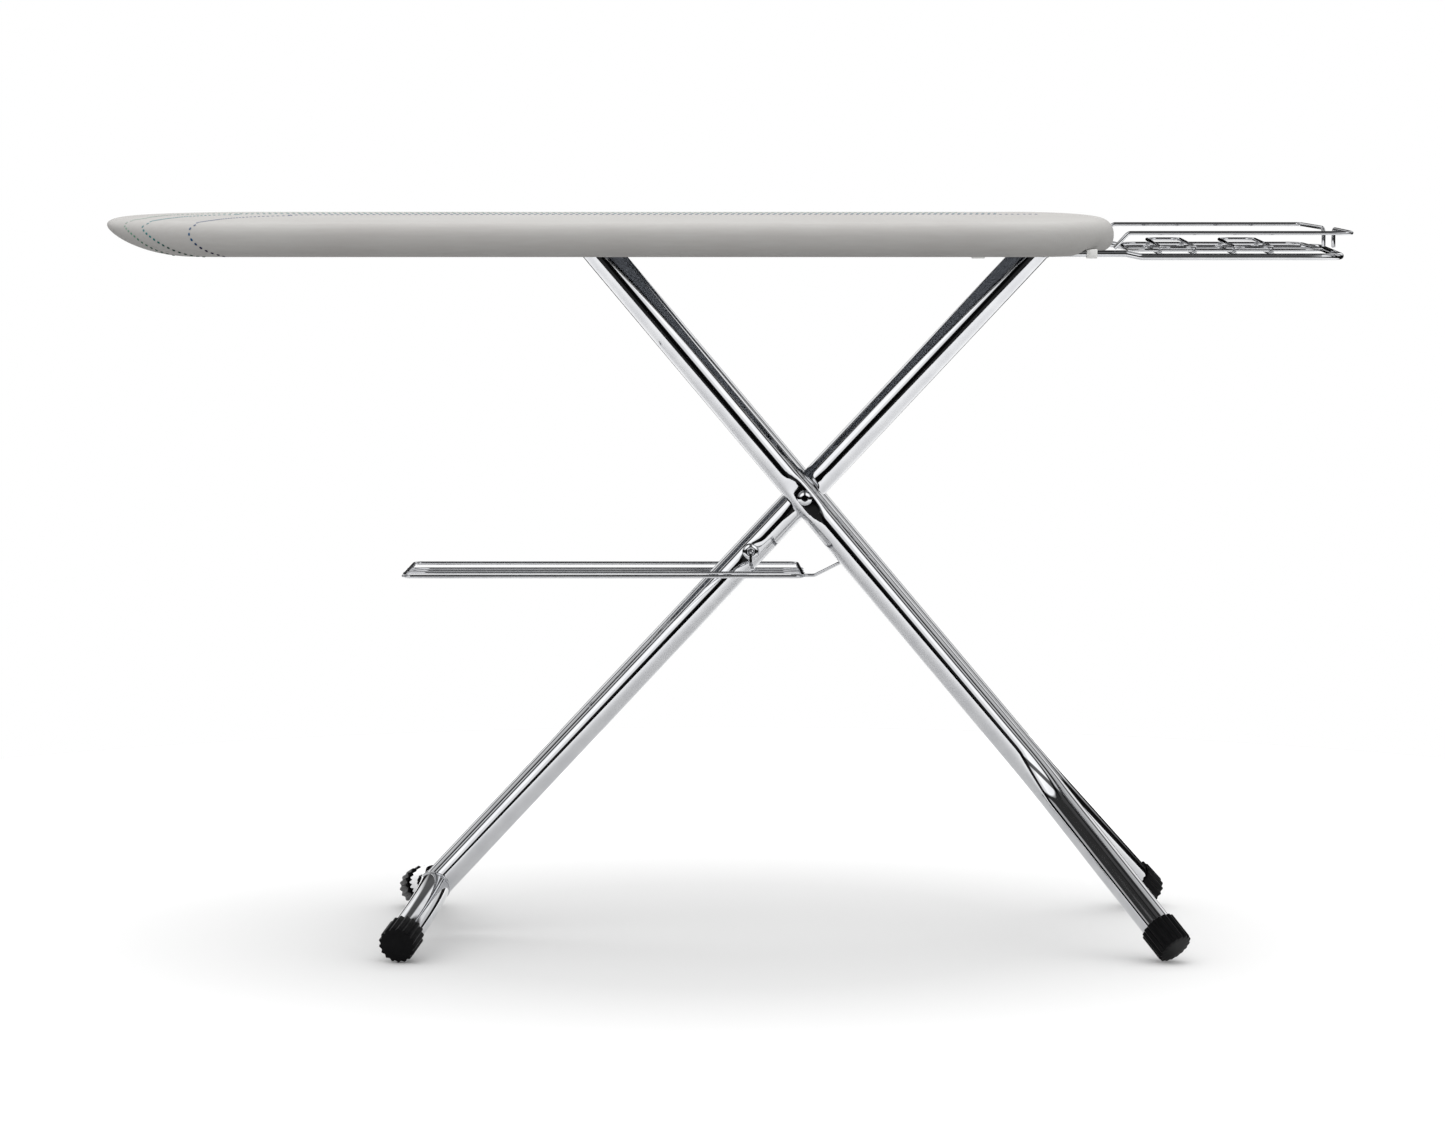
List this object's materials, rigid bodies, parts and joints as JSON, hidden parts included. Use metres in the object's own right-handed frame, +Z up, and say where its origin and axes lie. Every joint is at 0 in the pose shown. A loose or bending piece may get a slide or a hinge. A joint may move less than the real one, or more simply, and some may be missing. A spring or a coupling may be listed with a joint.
{
  "type": "folding ironing board",
  "caption": "Padded ironing board on crossed folding tube legs, with a sliding wire iron rest at the heel and a wire laundry rack hung in the crossing.",
  "frame": {"origin": "on the floor, half way along and half way across the whole object", "axes": "+X along the board from its nose to the iron rest, +Y away from the side the picture shows, +Z up"},
  "size_m": [1.513, 0.462, 0.8881],
  "materials": {
    "cover_fabric": "smooth woven cotton, warm grey",
    "felt": "white needled felt",
    "chrome": "polished chrome plate",
    "zinc_steel": "bright zinc plate",
    "frame_enamel": "silver-grey powder coat",
    "black_rubber": "smooth black, slightly glossy",
    "white_nylon": "satin white nylon",
    "grey_nylon": "satin dark grey nylon"
  },
  "bodies": {
    "board": {"cover": "cover_fabric", "felt_pad": "felt", "top_plate": "zinc_steel", "rim_tube": "frame_enamel", "slide_rail_near": "zinc_steel", "slide_rail_far": "zinc_steel", "hinge_bracket_near": "zinc_steel", "hinge_bracket_far": "zinc_steel", "hinge_pin": "zinc_steel", "rest_guide_heel_near": "white_nylon", "rest_guide_heel_far": "white_nylon", "rest_guide_inner_near": "white_nylon", "rest_guide_inner_far": "white_nylon", "lever_bracket_inner": "zinc_steel", "lever_bracket_outer": "zinc_steel", "lever_spring": "zinc_steel"},
    "inner_leg": {"inner_leg_tube": "chrome", "hinge_tube": "zinc_steel", "cross_foot_tube": "chrome", "inner_foot_cap_near": "black_rubber", "inner_foot_cap_far": "black_rubber", "pivot_bush_near": "grey_nylon", "pivot_bush_far": "grey_nylon", "rack_eyelet_near": "chrome", "rack_eyelet_far": "chrome"},
    "outer_legs": {"outer_leg_tube_near": "chrome", "outer_leg_tube_far": "chrome", "outer_foot_cap_near": "black_rubber", "outer_foot_cap_far": "black_rubber", "top_bar_glide_near": "white_nylon", "top_bar_glide_far": "white_nylon", "outer_leg_top_bar": "zinc_steel", "crossing_bolt": "chrome", "crossing_nut": "chrome"},
    "laundry_rack": {"rack_frame": "chrome", "rack_wire_near": "chrome", "rack_wire_middle": "chrome", "rack_wire_far": "chrome", "rack_hanger": "chrome", "rack_hook": "chrome"},
    "iron_rest": {"rest_base_loop": "chrome", "rest_cross_wire_1": "chrome", "rest_cross_wire_2": "chrome", "rest_cross_wire_3": "chrome", "rest_cross_wire_4": "chrome", "rest_inner_loop": "chrome", "rest_support_wire_1": "chrome", "rest_support_wire_2": "chrome", "rest_guard_rail_near": "chrome", "rest_guard_rail_far": "chrome"},
    "release_lever": {"lever_shaft": "zinc_steel", "latch_comb": "zinc_steel", "lever_handle": "zinc_steel", "lever_grip": "grey_nylon"}
  },
  "joints": [
    {"name": "leg_fold", "type": "hinge", "parent": "board", "child": "inner_leg", "pos_m": [0.38429, 0, 0.855], "axis": [0, 1, 0], "range_deg": [0, 43.5]},
    {"name": "leg_cross", "type": "hinge", "parent": "inner_leg", "child": "outer_legs", "pos_m": [0.097, 0, 0.548], "axis": [0, 1, 0], "range_deg": [-90.6, 0]},
    {"name": "rack_swing", "type": "hinge", "parent": "inner_leg", "child": "laundry_rack", "pos_m": [0.0313, 0, 0.47779], "axis": [0, 1, 0], "range_deg": [-40.8, 0]},
    {"name": "rest_slide", "type": "slide", "parent": "board", "child": "iron_rest", "axis": [1, 0, 0], "range_m": [0, 0.09]},
    {"name": "lever_squeeze", "type": "hinge", "parent": "board", "child": "release_lever", "pos_m": [-0.095, 0.104, 0.846], "axis": [0, 1, 0], "range_deg": [-6, 0], "stiffness_Nm_per_rad": 8, "springref_deg": 5.73}
  ],
  "couplings": [
    {"joint": "leg_cross", "follows": "leg_fold", "ratio": -2.073},
    {"joint": "rack_swing", "follows": "leg_fold", "ratio": -0.931}
  ]
}
